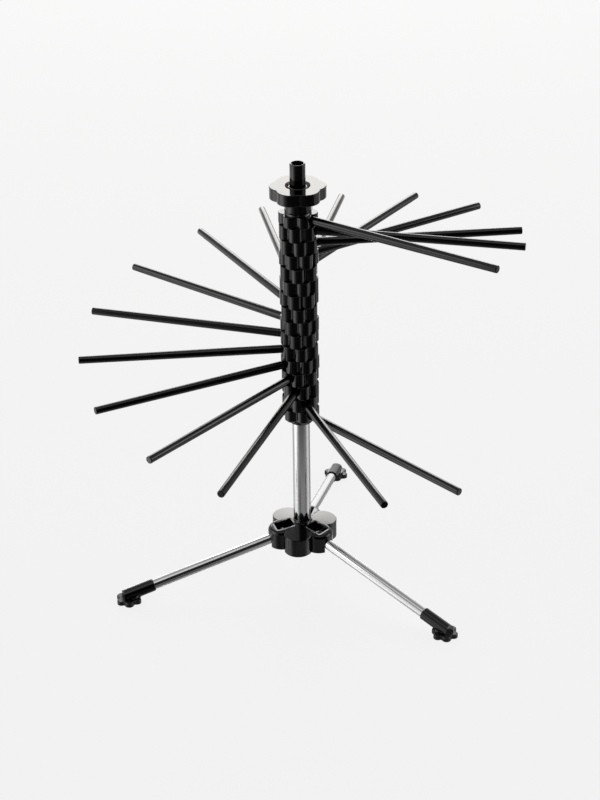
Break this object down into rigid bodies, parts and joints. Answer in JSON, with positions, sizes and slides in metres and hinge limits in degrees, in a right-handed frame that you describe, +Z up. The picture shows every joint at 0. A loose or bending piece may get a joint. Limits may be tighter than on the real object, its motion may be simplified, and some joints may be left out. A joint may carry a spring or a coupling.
{
  "type": "pasta drying rack",
  "caption": "Folding table-top rack for drying fresh pasta: swinging arms stacked in a spiral on a steel mast, clamped by a knob, over a tripod of folding legs.",
  "frame": {"origin": "on the mast's axis, in the plane of the surface that the three pads stand on", "axes": "+Z up along the mast; +Y away from the viewer of the picture, +X to the right"},
  "size_m": [0.4386, 0.425, 0.4582],
  "materials": {
    "gloss_black": "polished moulding",
    "plain_black": "plain moulding",
    "tube_steel": "polished tube",
    "fastener_steel": "zinc-bright",
    "pad_rubber": "smooth"
  },
  "bodies": {
    "stand": {"hub_body": "gloss_black", "hub_cover": "plain_black", "cover_screws": "fastener_steel", "leg_pins": "fastener_steel", "mast_tube": "tube_steel", "mast_plug": "plain_black", "mast_screw": "fastener_steel", "stack_stop": "plain_black", "thread_bush": "plain_black"},
    "arm_01": {"ring_01": "gloss_black", "rod_01": "gloss_black"},
    "arm_02": {"ring_02": "gloss_black", "rod_02": "gloss_black"},
    "arm_03": {"ring_03": "gloss_black", "rod_03": "gloss_black"},
    "arm_04": {"ring_04": "gloss_black", "rod_04": "gloss_black"},
    "arm_05": {"ring_05": "gloss_black", "rod_05": "gloss_black"},
    "arm_06": {"ring_06": "gloss_black", "rod_06": "gloss_black"},
    "arm_07": {"ring_07": "gloss_black", "rod_07": "gloss_black"},
    "arm_08": {"ring_08": "gloss_black", "rod_08": "gloss_black"},
    "arm_09": {"ring_09": "gloss_black", "rod_09": "gloss_black"},
    "arm_10": {"ring_10": "gloss_black", "rod_10": "gloss_black"},
    "arm_11": {"ring_11": "gloss_black", "rod_11": "gloss_black"},
    "arm_12": {"ring_12": "gloss_black", "rod_12": "gloss_black"},
    "arm_13": {"ring_13": "gloss_black", "rod_13": "gloss_black"},
    "arm_14": {"ring_14": "gloss_black", "rod_14": "gloss_black"},
    "arm_15": {"ring_15": "gloss_black", "rod_15": "gloss_black"},
    "arm_16": {"ring_16": "gloss_black", "rod_16": "gloss_black"},
    "leg_1": {"leg_knuckle_1": "gloss_black", "leg_tube_1": "tube_steel", "foot_elbow_1": "gloss_black", "foot_pad_1": "pad_rubber"},
    "leg_2": {"leg_knuckle_2": "gloss_black", "leg_tube_2": "tube_steel", "foot_elbow_2": "gloss_black", "foot_pad_2": "pad_rubber"},
    "leg_3": {"leg_knuckle_3": "gloss_black", "leg_tube_3": "tube_steel", "foot_elbow_3": "gloss_black", "foot_pad_3": "pad_rubber"},
    "washer": {"thrust_washer": "fastener_steel"},
    "knob": {"clamp_knob": "gloss_black"},
    "transfer_rod": {"transfer_rod": "gloss_black"}
  },
  "joints": [
    {"name": "arm_01_swing", "type": "hinge", "parent": "stand", "child": "arm_01", "pos_m": [0, 0, 0.4029], "axis": [0, 0, 1], "continuous": true},
    {"name": "arm_02_swing", "type": "hinge", "parent": "stand", "child": "arm_02", "pos_m": [0, 0, 0.39009], "axis": [0, 0, 1], "continuous": true},
    {"name": "arm_03_swing", "type": "hinge", "parent": "stand", "child": "arm_03", "pos_m": [0, 0, 0.37576], "axis": [0, 0, 1], "continuous": true},
    {"name": "arm_04_swing", "type": "hinge", "parent": "stand", "child": "arm_04", "pos_m": [0, 0, 0.36142], "axis": [0, 0, 1], "continuous": true},
    {"name": "arm_05_swing", "type": "hinge", "parent": "stand", "child": "arm_05", "pos_m": [0, 0, 0.34709], "axis": [0, 0, 1], "continuous": true},
    {"name": "arm_06_swing", "type": "hinge", "parent": "stand", "child": "arm_06", "pos_m": [0, 0, 0.33276], "axis": [0, 0, 1], "continuous": true},
    {"name": "arm_07_swing", "type": "hinge", "parent": "stand", "child": "arm_07", "pos_m": [0, 0, 0.31844], "axis": [0, 0, 1], "continuous": true},
    {"name": "arm_08_swing", "type": "hinge", "parent": "stand", "child": "arm_08", "pos_m": [0, 0, 0.30411], "axis": [0, 0, 1], "continuous": true},
    {"name": "arm_09_swing", "type": "hinge", "parent": "stand", "child": "arm_09", "pos_m": [0, 0, 0.28978], "axis": [0, 0, 1], "continuous": true},
    {"name": "arm_10_swing", "type": "hinge", "parent": "stand", "child": "arm_10", "pos_m": [0, 0, 0.27544], "axis": [0, 0, 1], "continuous": true},
    {"name": "arm_11_swing", "type": "hinge", "parent": "stand", "child": "arm_11", "pos_m": [0, 0, 0.26111], "axis": [0, 0, 1], "continuous": true},
    {"name": "arm_12_swing", "type": "hinge", "parent": "stand", "child": "arm_12", "pos_m": [0, 0, 0.24679], "axis": [0, 0, 1], "continuous": true},
    {"name": "arm_13_swing", "type": "hinge", "parent": "stand", "child": "arm_13", "pos_m": [0, 0, 0.23245], "axis": [0, 0, 1], "continuous": true},
    {"name": "arm_14_swing", "type": "hinge", "parent": "stand", "child": "arm_14", "pos_m": [0, 0, 0.21813], "axis": [0, 0, 1], "continuous": true},
    {"name": "arm_15_swing", "type": "hinge", "parent": "stand", "child": "arm_15", "pos_m": [0, 0, 0.2038], "axis": [0, 0, 1], "continuous": true},
    {"name": "arm_16_swing", "type": "hinge", "parent": "stand", "child": "arm_16", "pos_m": [0, 0, 0.18946], "axis": [0, 0, 1], "continuous": true},
    {"name": "leg_1_fold", "type": "hinge", "parent": "stand", "child": "leg_1", "pos_m": [0.016, -0.01436, 0.046], "axis": [0.6678, 0.7443, 0], "range_deg": [0, 77]},
    {"name": "leg_2_fold", "type": "hinge", "parent": "stand", "child": "leg_2", "pos_m": [0.00443, 0.02104, 0.046], "axis": [-0.9785, 0.2062, 0], "range_deg": [0, 77]},
    {"name": "leg_3_fold", "type": "hinge", "parent": "stand", "child": "leg_3", "pos_m": [-0.02044, -0.00668, 0.046], "axis": [0.3107, -0.9505, 0], "range_deg": [0, 77]},
    {"name": "washer_rise", "type": "slide", "parent": "stand", "child": "washer", "axis": [0, 0, 1], "range_m": [0, 0.00451]},
    {"name": "knob_turn", "type": "hinge", "parent": "washer", "child": "knob", "pos_m": [0, 0, 0.40955], "axis": [0, 0, 1], "range_deg": [0, 1080]},
    {"name": "transfer_rod_draw", "type": "slide", "parent": "stand", "child": "transfer_rod", "axis": [0, 0, 1], "range_m": [0, 0.4]}
  ],
  "couplings": [
    {"joint": "washer_rise", "follows": "knob_turn", "m_per_rad": 0.00023873}
  ]
}
